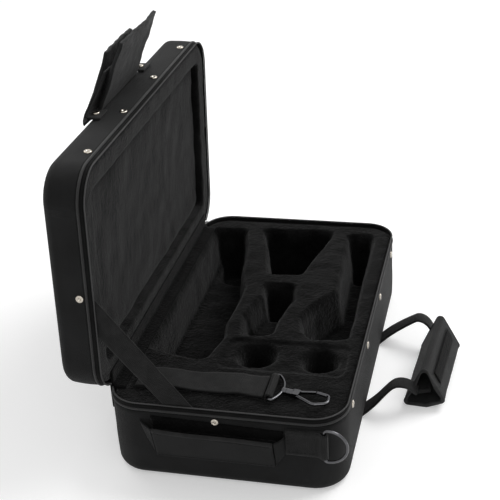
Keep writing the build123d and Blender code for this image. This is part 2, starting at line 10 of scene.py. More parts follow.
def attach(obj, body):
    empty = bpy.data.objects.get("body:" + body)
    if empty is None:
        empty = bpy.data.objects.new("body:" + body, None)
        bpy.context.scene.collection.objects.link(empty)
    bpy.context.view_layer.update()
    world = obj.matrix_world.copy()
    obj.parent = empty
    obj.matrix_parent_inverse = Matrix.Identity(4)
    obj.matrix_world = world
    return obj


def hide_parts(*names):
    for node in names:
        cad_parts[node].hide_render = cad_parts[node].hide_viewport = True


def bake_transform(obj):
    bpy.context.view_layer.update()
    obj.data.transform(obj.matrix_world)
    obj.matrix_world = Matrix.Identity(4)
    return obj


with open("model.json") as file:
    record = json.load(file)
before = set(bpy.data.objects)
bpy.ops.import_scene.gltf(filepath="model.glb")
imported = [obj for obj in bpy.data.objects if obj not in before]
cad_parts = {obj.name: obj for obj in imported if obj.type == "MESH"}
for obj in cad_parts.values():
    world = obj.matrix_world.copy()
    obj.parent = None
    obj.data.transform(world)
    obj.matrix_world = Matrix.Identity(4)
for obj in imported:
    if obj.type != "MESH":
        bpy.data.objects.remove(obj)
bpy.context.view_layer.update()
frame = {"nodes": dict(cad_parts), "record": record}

MM = 0.001

# ---- sizes shared with the frame, in millimetres ------------------------------------
HALF_W, HALF_L, CORNER_R, EDGE_R = 104.0, 180.0, 30.0, 9.0
PARTING = 77.0
BASE_RIM, LID_RIM, LID_TOP = 69.0, 85.0, 115.0
HINGE_X, HINGE_Z, OPEN = -103.0, 78.0, math.radians(88)
INSERT_TOP = 72.0
ZIPPER_END = math.radians(17)


def opened(points):
    """Turns lid points from the closed place to the open rest pose."""
    p = np.array(points, float)
    dx, dz = p[..., 0] - HINGE_X, p[..., 2] - HINGE_Z
    c, s = math.cos(OPEN), math.sin(OPEN)
    q = p.copy()
    q[..., 0] = HINGE_X + dx * c - dz * s
    q[..., 2] = HINGE_Z + dx * s + dz * c
    return q


# ---- camera, floor and light --------------------------------------------------------
# Solved from marks in the photo with the built sizes held; the length of 360 mm is assumed.
CAMERA_TURN = (14.7342, -27.8446, -3.5648)     # yaw, pitch and roll in degrees
CAMERA_PLACE, CAMERA_LENS = (228.672, -919.187, 634.279), 81.69


def make_camera():
    yaw, pitch, roll = [math.radians(angle) for angle in CAMERA_TURN]
    ahead = Vector((-math.sin(yaw) * math.cos(pitch), math.cos(yaw) * math.cos(pitch), math.sin(pitch)))
    right = ahead.cross(Vector((0, 0, 1))).normalized()
    up = right.cross(ahead)
    across = math.cos(roll) * right + math.sin(roll) * up
    above = -math.sin(roll) * right + math.cos(roll) * up
    data = bpy.data.cameras.new("camera")
    data.lens, data.sensor_width = CAMERA_LENS, 36.0
    data.clip_start, data.clip_end = 0.02, 20.0
    camera = bpy.data.objects.new("camera", data)
    turn = Matrix((across, above, -ahead)).transposed().to_4x4()
    camera.matrix_world = Matrix.Translation(Vector(CAMERA_PLACE) * MM) @ turn
    bpy.context.scene.collection.objects.link(camera)
    bpy.context.scene.camera = camera


def tree_of(material):
    material.use_nodes = True
    material.node_tree.nodes.clear()
    return material.node_tree


def add(tree, kind, inputs=None, **settings):
    """A node with its settings and inputs; a socket given as an input is linked."""
    node = tree.nodes.new(kind)
    for key, value in settings.items():
        setattr(node, key, value)
    for key, value in (inputs or {}).items():
        if isinstance(value, bpy.types.NodeSocket):
            tree.links.new(value, node.inputs[key])
        else:
            node.inputs[key].default_value = value
    return node


def arith(tree, operation, a, b=0.0):
    return add(tree, "ShaderNodeMath", {0: a, 1: b}, operation=operation).outputs[0]


def seen_directly(tree):
    """1 for camera, glossy and transmission rays, otherwise 0."""
    path = add(tree, "ShaderNodeLightPath").outputs
    either = arith(tree, "MAXIMUM", path["Is Camera Ray"], path["Is Glossy Ray"])
    return arith(tree, "MAXIMUM", either, path["Is Transmission Ray"])


def make_stage():
    world = bpy.data.worlds.new("studio")
    bpy.context.scene.world = world
    world.use_nodes = True
    tree = world.node_tree
    tree.nodes.clear()
    seen = seen_directly(tree)
    light = add(tree, "ShaderNodeBackground", {"Color": (1, 1, 1, 1), "Strength": 0.5})
    white = add(tree, "ShaderNodeBackground", {"Color": (1, 1, 1, 1), "Strength": 1.0})
    mix = add(tree, "ShaderNodeMixShader", {0: seen, 1: light.outputs[0], 2: white.outputs[0]})
    add(tree, "ShaderNodeOutputWorld", {"Surface": mix.outputs[0]})

    bm = bmesh.new()
    bmesh.ops.create_grid(bm, x_segments=2, y_segments=2, size=6.0)
    mesh = bpy.data.meshes.new("floor")
    bm.to_mesh(mesh)
    bm.free()
    floor = bpy.data.objects.new("floor", mesh)
    bpy.context.scene.collection.objects.link(floor)
    material = bpy.data.materials.new("floor_paper")
    tree = tree_of(material)
    seen = seen_directly(tree)
    paper = add(tree, "ShaderNodeBsdfDiffuse", {"Color": (0.86, 0.86, 0.86, 1)})
    lift = add(tree, "ShaderNodeEmission", {"Color": (1, 1, 1, 1), "Strength": 0.32})
    both = add(tree, "ShaderNodeAddShader", {0: paper.outputs[0], 1: lift.outputs[0]})
    mix = add(tree, "ShaderNodeMixShader", {0: seen, 1: paper.outputs[0], 2: both.outputs[0]})
    add(tree, "ShaderNodeOutputMaterial", {"Surface": mix.outputs[0]})
    mesh.materials.append(material)

    for name, place, size, power in (
        ("key", (0.9, 0.7, 1.5), 1.1, 18.0),
        ("fill", (0.5, -1.5, 1.1), 1.2, 4.0),
        ("back", (-1.2, 0.8, 1.3), 1.0, 6.0),
    ):
        data = bpy.data.lights.new(name, "AREA")
        data.shape, data.size, data.energy = "DISK", size, power
        lamp = bpy.data.objects.new(name, data)
        lamp.location = place
        lamp.rotation_mode = "QUATERNION"
        lamp.rotation_quaternion = (Vector((-0.02, 0, 0.12)) - Vector(place)).to_track_quat("-Z", "Y")
        bpy.context.scene.collection.objects.link(lamp)


# ---- materials ----------------------------------------------------------------------
def principled(tree, colour, roughness, normal=None, **sockets):
    names = {
        "metallic": "Metallic", "specular": "Specular IOR Level", "sheen": "Sheen Weight",
        "sheen_roughness": "Sheen Roughness", "sheen_tint": "Sheen Tint", "coat": "Coat Weight",
    }
    inputs = {"Base Color": colour, "Roughness": roughness}
    for key, value in sockets.items():
        inputs[names[key]] = value
    if normal is not None:
        inputs["Normal"] = normal
    shader = add(tree, "ShaderNodeBsdfPrincipled", inputs)
    add(tree, "ShaderNodeOutputMaterial", {"Surface": shader.outputs[0]})


def grey(value, tint=0.0):
    return (value * (1 - tint), value, value * (1 + tint), 1)


def ramp(tree, factor, low, high, start=0.3, end=0.7):
    node = add(tree, "ShaderNodeValToRGB", {0: factor})
    node.color_ramp.elements[0].position = start
    node.color_ramp.elements[1].position = end
    node.color_ramp.elements[0].color = low
    node.color_ramp.elements[1].color = high
    return node.outputs[0]


def noise_at(tree, vector, scale, detail=3.0, rough=0.55):
    inputs = {"Vector": vector, "Scale": scale, "Detail": detail, "Roughness": rough}
    return add(tree, "ShaderNodeTexNoise", inputs).outputs[0]


def bump(tree, height, distance, strength=1.0, under=None):
    inputs = {"Height": height, "Distance": distance, "Strength": strength}
    if under is not None:
        inputs["Normal"] = under
    return add(tree, "ShaderNodeBump", inputs).outputs[0]


def threads(tree, vector, across, along):
    """Thread height of a plain weave; the pitches are in the vector's own units."""
    parts = add(tree, "ShaderNodeSeparateXYZ", {0: vector}).outputs
    a = arith(tree, "SINE", arith(tree, "MULTIPLY", parts[0], 2 * math.pi / along))
    b = arith(tree, "SINE", arith(tree, "MULTIPLY", parts[1], 2 * math.pi / across))
    return arith(tree, "MULTIPLY", a, b)


def cloth(name, dark, light, pitch, depth, sheen, roughness=0.72, specular=0.22):
    """Woven cloth. The UV map is in millimetres, so the threads have their real size."""
    material = bpy.data.materials.new(name)
    tree = tree_of(material)
    place = add(tree, "ShaderNodeTexCoord").outputs
    weave = threads(tree, place["UV"], pitch, pitch)
    patches = noise_at(tree, place["Object"], 34.0, 4.0)
    fuzz = noise_at(tree, place["Object"], 900.0, 2.0)
    mixed = arith(tree, "ADD", arith(tree, "MULTIPLY", patches, 0.75), arith(tree, "MULTIPLY", fuzz, 0.25))
    shade = arith(tree, "ADD", mixed, arith(tree, "MULTIPLY", weave, 0.06))
    colour = ramp(tree, shade, dark, light, 0.36, 0.66)
    creases = bump(tree, noise_at(tree, place["Object"], 60.0, 3.0), 0.0012, 0.35)
    normal = bump(tree, weave, depth, 0.9, creases)
    principled(
        tree, colour, roughness, normal, sheen=sheen, sheen_roughness=0.45,
        sheen_tint=grey(0.8), specular=specular,
    )
    return material


def webbing(name, dark, light, rib=1.5, depth=0.00028):
    """Woven strap: ribs across it and a fine twill, from a UV map in millimetres."""
    material = bpy.data.materials.new(name)
    tree = tree_of(material)
    place = add(tree, "ShaderNodeTexCoord").outputs
    parts = add(tree, "ShaderNodeSeparateXYZ", {0: place["UV"]}).outputs
    step = arith(tree, "MULTIPLY", parts[0], 2 * math.pi / rib)
    column = arith(tree, "MULTIPLY", parts[1], 2 * math.pi / (2 * rib))
    side = arith(tree, "SIGN", arith(tree, "SINE", column))
    shifted = arith(tree, "ADD", step, arith(tree, "MULTIPLY", side, 0.8))
    ribs = arith(tree, "SINE", shifted)
    columns = arith(tree, "ABSOLUTE", arith(tree, "SINE", column))
    height = arith(tree, "ADD", arith(tree, "MULTIPLY", ribs, 0.6), arith(tree, "MULTIPLY", columns, 0.5))
    worn = noise_at(tree, place["Object"], 120.0, 4.0)
    shade = arith(tree, "ADD", worn, arith(tree, "MULTIPLY", height, 0.10))
    colour = ramp(tree, shade, dark, light, 0.38, 0.72)
    normal = bump(tree, height, depth, 1.0)
    principled(
        tree, colour, 0.66, normal, sheen=0.07, sheen_roughness=0.4, sheen_tint=grey(0.8), specular=0.15,
    )
    return material


def plush(name, dark, light, sheen, streak=(1.0, 1.0, 1.0)):
    """Short pile: soft mottling where the nap is brushed both ways, and fine tufts."""
    material = bpy.data.materials.new(name)
    tree = tree_of(material)
    place = add(tree, "ShaderNodeTexCoord").outputs["Object"]
    stretched = add(tree, "ShaderNodeVectorMath", {0: place, 1: streak}, operation="MULTIPLY").outputs[0]
    nap = noise_at(tree, stretched, 42.0, 5.0, 0.62)
    tufts = noise_at(tree, place, 520.0, 3.0, 0.7)
    shade = arith(tree, "ADD", arith(tree, "MULTIPLY", nap, 0.72), arith(tree, "MULTIPLY", tufts, 0.28))
    colour = ramp(tree, shade, dark, light, 0.40, 0.66)
    normal = bump(tree, tufts, 0.0016, 0.8, bump(tree, nap, 0.003, 0.4))
    principled(
        tree, colour, 0.95, normal, sheen=sheen, sheen_roughness=0.35, sheen_tint=grey(0.75), specular=0.05,
    )
    return material


def metal(name, colour, roughness, mottling=0.0006, metallic=1.0, coat=0.0):
    material = bpy.data.materials.new(name)
    tree = tree_of(material)
    place = add(tree, "ShaderNodeTexCoord").outputs["Object"]
    wear = noise_at(tree, place, 260.0, 4.0)
    rough = add(
        tree, "ShaderNodeMapRange", {"Value": wear, "To Min": roughness * 0.7, "To Max": roughness * 1.5},
    ).outputs[0]
    dull = tuple(c * 0.8 for c in colour[:3]) + (1,)
    normal = bump(tree, noise_at(tree, place, 420.0, 2.0), mottling, 0.25)
    principled(tree, ramp(tree, wear, dull, colour), rough, normal, metallic=metallic, coat=coat)
    return material


MATERIALS = {
    "nylon_cloth": cloth("nylon_cloth", grey(0.0045), grey(0.010, 0.02), 0.9, 0.00012, 0.06, 0.72, 0.12),
    "wrap_cloth": cloth("wrap_cloth", grey(0.006), grey(0.016, 0.02), 0.9, 0.00012, 0.09, 0.72, 0.16),
    # lining_cloth: near-black pile, partly the lining's own dark colour and partly painted shade for the
    # groove at the hinge; it also colours the painted-shade sheet behind the pocket's mouth
    "lining_cloth": plush("lining_cloth", grey(0.0012), grey(0.005), 0.10),
    "piping": cloth("piping", grey(0.010), grey(0.022), 1.1, 0.0001, 0.14, 0.6, 0.28),
    "zipper_tape": cloth("zipper_tape", grey(0.003), grey(0.007), 1.3, 0.0002, 0.02, 0.8, 0.08),
    "binding_tape": webbing("binding_tape", grey(0.007), grey(0.018), 1.0, 0.00018),
    "webbing": webbing("webbing", grey(0.0045), grey(0.012)),
    "hook_and_loop": plush("hook_and_loop", grey(0.003), grey(0.008), 0.12),
    "plush": plush("plush", grey(0.0014), grey(0.0085), 0.17),
    "zipper_coil": metal("zipper_coil", grey(0.022), 0.45, 0.0002, 0.0),
    "rivet_nickel": metal("rivet_nickel", (0.50, 0.46, 0.40, 1), 0.22),
    "dark_chrome": metal("dark_chrome", (0.10, 0.10, 0.105, 1), 0.15),
    "zipper_metal": metal("zipper_metal", grey(0.03), 0.3, 0.0003, 0.0, 0.5),
}
LID_PLUSH = plush("plush_lid", grey(0.003), grey(0.012), 0.16, (1.0, 1.3, 0.6))
WRAP_EDGE = webbing("wrap_edge", grey(0.018), grey(0.040), 1.0, 0.00018)


# ---- mesh helpers -------------------------------------------------------------------
def finish_piece(obj, body, slot, material=None, replaced=()):
    obj.data.materials.clear()
    obj.data.materials.append(material or MATERIALS[slot])
    for polygon in obj.data.polygons:
        polygon.use_smooth = True
    if body:
        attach(obj, body)
    if replaced:
        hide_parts(*replaced)
    return obj


def new_mesh(name, points, faces, uv=None):
    """A mesh object from millimetre points; uv is one pair per point, in millimetres."""
    mesh = bpy.data.meshes.new(name)
    mesh.from_pydata((np.asarray(points, float) * MM).tolist(), [], faces)
    mesh.update()
    if uv is not None:
        layer = mesh.uv_layers.new(name="UVMap")
        corners = np.zeros(len(mesh.loops), np.int32)
        mesh.loops.foreach_get("vertex_index", corners)
        layer.data.foreach_set("uv", np.asarray(uv, np.float32)[corners].ravel())
    bm = bmesh.new()
    bm.from_mesh(mesh)
    bmesh.ops.recalc_face_normals(bm, faces=bm.faces)
    bm.to_mesh(mesh)
    bm.free()
    obj = bpy.data.objects.new(name, mesh)
    bpy.context.scene.collection.objects.link(obj)
    return obj


def unit(v):
    return v / np.maximum(np.linalg.norm(v, axis=-1, keepdims=True), 1e-9)


def slab(name, surface, nu, nv, thickness):
    """A closed sheet round a middle surface, surface(u, v) -> mm, both from 0 to 1."""
    us, vs = np.linspace(0, 1, nu + 1), np.linspace(0, 1, nv + 1)
    grid = np.array([[surface(u, v) for v in vs] for u in us], float)
    normal = unit(np.cross(np.gradient(grid, axis=0), np.gradient(grid, axis=1)))
    half = thickness / 2
    points = np.concatenate([(grid + normal * half).reshape(-1, 3), (grid - normal * half).reshape(-1, 3)])
    run = np.cumsum(np.concatenate([[0], np.linalg.norm(np.diff(grid[:, nv // 2], axis=0), axis=1)]))
    wide = np.cumsum(np.concatenate([[0], np.linalg.norm(np.diff(grid[nu // 2], axis=0), axis=1)]))
    uv = np.stack(np.meshgrid(run, wide, indexing="ij"), -1).reshape(-1, 2)
    faces = []
    count = (nu + 1) * (nv + 1)
    index = np.arange(count).reshape(nu + 1, nv + 1)
    for i in range(nu):
        for j in range(nv):
            quad = [index[i, j], index[i + 1, j], index[i + 1, j + 1], index[i, j + 1]]
            faces.append([int(q) for q in quad])
            faces.append([int(q) + count for q in reversed(quad)])
    rim = list(index[:, 0]) + list(index[-1, 1:]) + list(index[-2::-1, -1]) + list(index[0, -2:0:-1])
    for a, b in zip(rim, rim[1:] + rim[:1]):
        faces.append([int(a), int(b), int(b) + count, int(a) + count])
    return new_mesh(name, points, faces, np.concatenate([uv, uv]))


def smooth_path(points, samples, rounding=2):
    """Corner-cut polyline, resampled evenly: gives samples + 1 points."""
    p = np.array(points, float)
    for _ in range(rounding):
        cut = [p[0]]
        for a, b in zip(p[:-1], p[1:]):
            cut += [a * 0.75 + b * 0.25, a * 0.25 + b * 0.75]
        p = np.array(cut + [p[-1]])
    run = np.concatenate([[0], np.cumsum(np.linalg.norm(np.diff(p, axis=0), axis=1))])
    at = np.linspace(0, run[-1], samples + 1)
    return np.stack([np.interp(at, run, p[:, k]) for k in range(p.shape[1])], -1)


def along(path):
    """Turns evenly spaced points into a function of 0..1."""
    last = len(path) - 1

    def point(u):
        i = min(int(u * last), last - 1)
        f = u * last - i
        return path[i] * (1 - f) + path[i + 1] * f

    return point


def ribbon(name, points, y_low, y_high, thickness, nu=60, nv=8, rounding=2):
    """A band whose profile follows points in the XZ plane, from y_low to y_high."""
    path = along(smooth_path(points, nu, rounding))

    def surface(u, v):
        x, z = path(u)
        return (x, y_low + (y_high - y_low) * v, z)

    return slab(name, surface, nu, nv, thickness)


# ---- the case's plan: centres and outward directions round the outline ------------------
def plan(steps_x, steps_y, steps_corner):
    rows = []
    core_x, core_y = HALF_W - CORNER_R, HALF_L - CORNER_R
    corners = [(core_x, -core_y, -90), (core_x, core_y, 0), (-core_x, core_y, 90), (-core_x, -core_y, 180)]
    for i, (cx, cy, start) in enumerate(corners):
        for k in range(steps_corner):
            angle = math.radians(start + 90 * k / steps_corner)
            rows.append((cx, cy, math.cos(angle), math.sin(angle)))
        nx, ny, _ = corners[(i + 1) % 4]
        angle = math.radians(start + 90)
        steps = steps_y if i % 2 == 0 else steps_x
        for k in range(steps):
            f = k / steps
            rows.append((cx + (nx - cx) * f, cy + (ny - cy) * f, math.cos(angle), math.sin(angle)))
    return np.array(rows)


def ring_at(rows, grow, z):
    x = rows[:, 0] + rows[:, 2] * (CORNER_R + grow)
    y = rows[:, 1] + rows[:, 3] * (CORNER_R + grow)
    return np.stack([x, y, np.full(len(rows), z)], -1)


def lofted(name, rings, uv_v, lid=False):
    count = len(rings[0])
    points = np.concatenate(rings)
    if lid:
        points = opened(points)
    girdle = rings[len(rings) // 2]
    steps = np.linalg.norm(np.diff(girdle, axis=0, append=girdle[:1]), axis=1)
    run = np.concatenate([[0], np.cumsum(steps)[:-1]])
    uv = np.concatenate([np.stack([run, np.full(count, v)], -1) for v in uv_v])
    faces = []
    for r in range(len(rings) - 1):
        for k in range(count):
            n = (k + 1) % count
            faces.append([r * count + k, r * count + n, (r + 1) * count + n, (r + 1) * count + k])
    faces.append(list(range(count))[::-1])
    faces.append([(len(rings) - 1) * count + k for k in range(count)])
    return new_mesh(name, points, faces, uv)


def cloth_ripple(points, rows, amount, seed):
    """Slow dents and puckers of cloth stretched on board, along the outward direction."""
    out = points.copy()
    for i, p in enumerate(points):
        wave = noise.noise(Vector((p[0] * 0.018 + seed, p[1] * 0.018, p[2] * 0.03)))
        fine = noise.noise(Vector((p[0] * 0.07, p[1] * 0.07 + seed, p[2] * 0.09)))
        out[i, :2] += rows[i, 2:] * amount * (wave + 0.3 * fine)
    return out


def shell_cover(name, levels, lid, seed):
    """Cloth-covered board shell from its flat face to the rim and down inside."""
    rows = plan(22, 40, 12)
    rings, heights = [], []
    for scale in (0.12, 0.3, 0.5, 0.7, 0.86, 0.95):
        ring = ring_at(rows, -EDGE_R, levels[0])
        puff = (0.6 if lid else 0.0) * (1 - scale ** 2)
        ring[:, :2] *= scale
        ring[:, 2] += puff
        rings.append(ring)
        heights.append(-60 * (1 - scale))
    sign = 1 if levels[1] > levels[0] else -1
    for k in range(9):
        angle = math.radians(90 * k / 8)
        grow = -EDGE_R + EDGE_R * math.sin(angle)
        z = levels[0] + sign * EDGE_R * (1 - math.cos(angle))
        rings.append(ring_at(rows, grow, z))
        heights.append(sign * (z - levels[0]))
    low, high = levels[0] + sign * EDGE_R, levels[1]
    for f in np.linspace(0, 1, 13)[1:]:
        z = low + (high - low) * f
        bulge = 0.35 * math.sin(math.pi * f)
        ring = ring_at(rows, bulge, z)
        fade = math.sin(math.pi * min(f, 0.97))
        rings.append(cloth_ripple(ring, rows, 0.5 * fade, seed))
        heights.append(sign * (z - levels[0]))
    for grow, inner in ((-0.8, 0.0), (-1.6, -0.15), (-4.2, 0.0), (-5.0, 1.0)):
        rings.append(ring_at(rows, grow, high - sign * inner))
        heights.append(heights[-1] + 1)
    rings.append(ring_at(rows, -5.0, levels[0] + sign * 5.0))
    heights.append(heights[-1] + 40)
    return lofted(name, rings, heights, lid)


def zipper_rows(step):
    """The plan from the zipper's one end, round the near end and handle side, to the other."""
    full = plan(max(2, int(148 / step)), max(2, int(300 / step)), max(6, int(47 / step)))
    core_x, core_y = HALF_W - CORNER_R, HALF_L - CORNER_R
    corner = (np.abs(full[:, 0] + core_x) < 1e-6) & (np.abs(np.abs(full[:, 1]) - core_y) < 1e-6)
    hinge = (full[:, 2] < -0.999)
    behind = corner & (full[:, 2] < -math.cos(ZIPPER_END))
    keep = ~(hinge | behind)
    order = np.arange(len(full))[keep]
    jumps = np.where(np.diff(order) > 1)[0]
    if len(jumps):
        order = np.concatenate([order[jumps[0] + 1:], order[:jumps[0] + 1]])
    return full[order]


def swept(name, rows, profile, lid=False):
    """A closed profile of (grow, z) carried along the zipper's path."""
    count = len(profile)
    rings = []
    for grow, z in profile:
        rings.append(ring_at(rows, grow, z))
    points = np.stack(rings, 1).reshape(-1, 3)
    if lid:
        points = opened(points)
    faces = []
    for i in range(len(rows) - 1):
        for k in range(count):
            n = (k + 1) % count
            faces.append([i * count + k, i * count + n, (i + 1) * count + n, (i + 1) * count + k])
    faces.append(list(range(count))[::-1])
    faces.append([(len(rows) - 1) * count + k for k in range(count)])
    middle = ring_at(rows, 0, 0)
    run = np.concatenate([[0], np.cumsum(np.linalg.norm(np.diff(middle, axis=0), axis=1))])
    girth = np.cumsum([0] + [math.dist(profile[k], profile[k + 1]) for k in range(count - 1)])
    uv = np.stack([np.repeat(run, count), np.tile(girth, len(rows))], -1)
    return new_mesh(name, points, faces, uv)


def round_profile(grow, z, radius_g, radius_z, steps=12):
    turns = [2 * math.pi * k / steps for k in range(steps)]
    return [(grow + radius_g * math.cos(t), z + radius_z * math.sin(t)) for t in turns]


COIL_PITCH, COIL_LOOP = 1.5, (0.62, 0.85, 0.85)     # one loop's half sizes: along, out, up


def zipper_set(prefix, rim, sign, lid, body):
    rows = zipper_rows(3.0)
    level = rim + sign * 1.25
    piping = swept(prefix + "_piping_cord", rows, round_profile(-0.35, level, 1.1, 1.15), lid)
    finish_piece(piping, body, "piping", replaced=(prefix + "_piping",))
    tape_low, tape_high = rim + sign * 2.4, PARTING - sign * 1.9
    profile = [
        (-0.5, tape_low), (-0.35, (tape_low + tape_high) / 2), (-0.5, tape_high),
        (-1.55, tape_high), (-1.4, (tape_low + tape_high) / 2), (-1.55, tape_low),
    ]
    tape = swept(prefix + "_tape", rows, profile, lid)
    finish_piece(tape, body, "zipper_tape", replaced=(prefix + "_zipper_tape",))
    # the coil: a core with one rounded loop of filament after another along it
    fine = zipper_rows(0.5)
    path = ring_at(fine, -0.7, 0)
    run = np.concatenate([[0], np.cumsum(np.linalg.norm(np.diff(path, axis=0), axis=1))])
    places = np.arange(COIL_PITCH, run[-1] - COIL_PITCH, COIL_PITCH)
    centre_z = PARTING - sign * 1.1
    ball = bmesh.new()
    bmesh.ops.create_icosphere(ball, subdivisions=1, radius=1.0)
    ball_points = np.array([v.co for v in ball.verts])
    ball_faces = [[v.index for v in f.verts] for f in ball.faces]
    ball.free()
    points, faces = [], []
    for at in places:
        cx, cy = np.interp(at, run, path[:, 0]), np.interp(at, run, path[:, 1])
        nx, ny = np.interp(at, run, fine[:, 2]), np.interp(at, run, fine[:, 3])
        length = math.hypot(nx, ny)
        nx, ny = nx / length, ny / length
        local = ball_points * COIL_LOOP
        world = np.stack([
            cx - ny * local[:, 0] + nx * local[:, 1],
            cy + nx * local[:, 0] + ny * local[:, 1],
            centre_z + local[:, 2],
        ], -1)
        start = len(points) * len(ball_points)
        points.append(world)
        faces += [[i + start for i in f] for f in ball_faces]
    stacked = np.concatenate(points)
    if lid:
        stacked = opened(stacked)
    coil = new_mesh(prefix + "_coil_loops", stacked, faces)
    finish_piece(coil, body, "zipper_coil", replaced=(prefix + "_zipper_coil",))
    core = swept(prefix + "_coil_core", rows, round_profile(-0.85, centre_z, 0.5, 0.6, 8), lid)
    finish_piece(core, body, "zipper_coil")


# ---- padded and pile-covered pieces, grown from their CAD solids -------------------------
def remeshed(name, node, voxel, rounds, shape=None):
    """A soft copy of a CAD solid: even small faces, rounded edges, then shape(p, n)."""
    obj = bpy.data.objects.new(name, frame["nodes"][node].data.copy())
    bpy.context.scene.collection.objects.link(obj)
    grid = obj.modifiers.new("grid", "REMESH")
    grid.mode, grid.voxel_size = "VOXEL", voxel * MM
    soften = obj.modifiers.new("soften", "SMOOTH")
    soften.factor, soften.iterations = 0.5, rounds
    evaluated = obj.evaluated_get(bpy.context.evaluated_depsgraph_get())
    mesh = bpy.data.meshes.new_from_object(evaluated)
    obj.modifiers.clear()
    obj.data = mesh
    if shape:
        count = len(mesh.vertices)
        co, normals = np.zeros(count * 3), np.zeros(count * 3)
        mesh.vertices.foreach_get("co", co)
        mesh.vertices.foreach_get("normal", normals)
        moved = shape(co.reshape(-1, 3) / MM, normals.reshape(-1, 3)) * MM
        mesh.vertices.foreach_set("co", moved.ravel())
        mesh.update()
    return obj


def pile(points, normals, tuft, slow, reach=0.02):
    """Moves points along their normals by fine tufts and slow swells, in mm."""
    push = np.zeros(len(points))
    for i, p in enumerate(points):
        fine = noise.noise(Vector(p * 0.42))
        wide = noise.noise(Vector(p * reach * 2.0))
        push[i] = tuft * fine + slow * wide
    return points + normals * push[:, None]


def base_insert():
    obj = remeshed("plush_insert", "base_insert", 1.6, 9, lambda p, n: pile(p, n, 0.45, 0.8, 0.03))
    finish_piece(obj, "case_base", "plush", replaced=("base_insert",))


def lid_lining():
    border = remeshed(
        "plush_lid_border", "lid_lining_border", 1.8, 7, lambda p, n: pile(p, n, 0.35, 0.7, 0.03),
    )
    finish_piece(border, "lid", "plush", LID_PLUSH, ("lid_lining_border",))
    panel = remeshed("plush_lid_panel", "lid_lining_panel", 2.2, 4, lambda p, n: pile(p, n, 0.3, 1.3, 0.022))
    finish_piece(panel, "lid", "plush", LID_PLUSH, ("lid_lining_panel",))


# ---- hinge cloth ---------------------------------------------------------------------------
HINGE_HALF, HINGE_OFF = 156, 0.9     # half its length; its middle off what it lies on
HINGE_DOWN, HINGE_BACK, HINGE_FOLD = 24.1, 21.1, 5
LINING_LIP, LINING_TOP_X = 79.5, -92


def hinge_cloth():
    lid_z = opened([(-HALF_W, 0, LID_RIM)])[0][2] - HINGE_OFF
    base_x = -HALF_W - HINGE_OFF
    profile = [
        (base_x, lid_z - HINGE_DOWN), (base_x, lid_z - HINGE_FOLD), (base_x, lid_z),
        (base_x - HINGE_FOLD, lid_z), (base_x - HINGE_BACK, lid_z),
    ]
    strip = ribbon("hinge_cloth", profile, -HINGE_HALF, HINGE_HALF, 1.1, 40, 60, 2)
    finish_piece(strip, None, "nylon_cloth", replaced=("hinge_strip",))
    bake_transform(strip)
    level = INSERT_TOP + HINGE_OFF
    top = opened([(LINING_TOP_X, 0, LINING_LIP - HINGE_OFF)])[0]
    corner = opened([(-HALF_W, 0, LINING_LIP - HINGE_OFF)])[0]
    profile = [
        (corner[0] + 12, level), (corner[0] + 3, level), (corner[0], level + 2),
        (corner[0], level + 6), (top[0], top[2]),
    ]
    # hinge lining: its own dark pile, made near black as well, partly painted shade of the groove at the
    # hinge
    dark_sheet = ribbon("hinge_lining_cloth", profile, -HINGE_HALF, HINGE_HALF, 1.0, 30, 60, 2)
    finish_piece(dark_sheet, None, "lining_cloth", replaced=("hinge_lining",))
    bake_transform(dark_sheet)


# ---- stitches --------------------------------------------------------------------------------
def stitches(name, runs, body, slot="webbing", length=2.2, gap=1.2, radius=0.28):
    """Thread stitches: short low capsules along runs of (start, end, outward), in mm."""
    points, faces = [], []
    for start, end, outward in runs:
        start, end = np.array(start, float), np.array(end, float)
        total = np.linalg.norm(end - start)
        ahead = (end - start) / max(total, 1e-6)
        out = unit(np.array(outward, float))
        side = np.cross(out, ahead)
        at = 0.0
        while at + length <= total:
            a = start + ahead * at
            rings = []
            for f, r in ((0.0, 0.35), (0.25, 1.0), (0.75, 1.0), (1.0, 0.35)):
                centre = a + ahead * length * f
                rings.append([centre + (side * math.cos(t) + out * math.sin(t)) * radius * r
                              for t in (0, math.pi / 3, 2 * math.pi / 3, math.pi, 4.4, 5.1)])
            base = len(points)
            for ring in rings:
                points += ring
            for r in range(3):
                for k in range(6):
                    n = (k + 1) % 6
                    row = base + r * 6
                    faces.append([row + k, row + n, row + 6 + n, row + 6 + k])
            faces.append([base + k for k in range(6)][::-1])
            faces.append([base + 18 + k for k in range(6)])
            at += length + gap
    obj = new_mesh(name, points, faces)
    return finish_piece(obj, body, slot)


# ---- pocket on the near end --------------------------------------------------------------------
POCKET_X, POCKET_W, POCKET_Z, LEAN = -7.0, 104.0, 24.5, math.radians(15)
POCKET_LOW, POCKET_LEFT_TOP, POCKET_RIGHT_TOP = 1.2, 34.8, 31.0
PANEL_Y, SHADE_SHEET_Y, GUSSET_Y, STITCH_OUT = -180.4, -180.75, -180.9, 2.15
# BACK_* and the y above: size and place of the painted-shade sheet behind the pocket's mouth
BACK_X, BACK_LENGTH, BACK_LOW, BACK_HEIGHT, BACK_DROP = -62, 115, 51, 15, 4
GUSSETS = ((-1, "left", 12.0, 1.0, 34.0), (1, "right", 8.0, 5.0, 30.5))     # flare, fold, top


def pocket_point(across, up, out):
    """A point on the leaning pocket panel: mm across from its centre, up it and off it."""
    y = PANEL_Y - up * math.sin(LEAN) - out * math.cos(LEAN)
    z = POCKET_Z + up * math.cos(LEAN) - out * math.sin(LEAN)
    return (POCKET_X + across, y, z)


def pocket_top(u):
    """The slack upper edge, from the left end (0) to the right end (1), mm up the panel."""
    return POCKET_LEFT_TOP + (POCKET_RIGHT_TOP - POCKET_LEFT_TOP) * u - 0.8 * math.sin(math.pi * u)


def pocket_slack(u, v):
    return 0.5 * math.sin(7 * u) * v


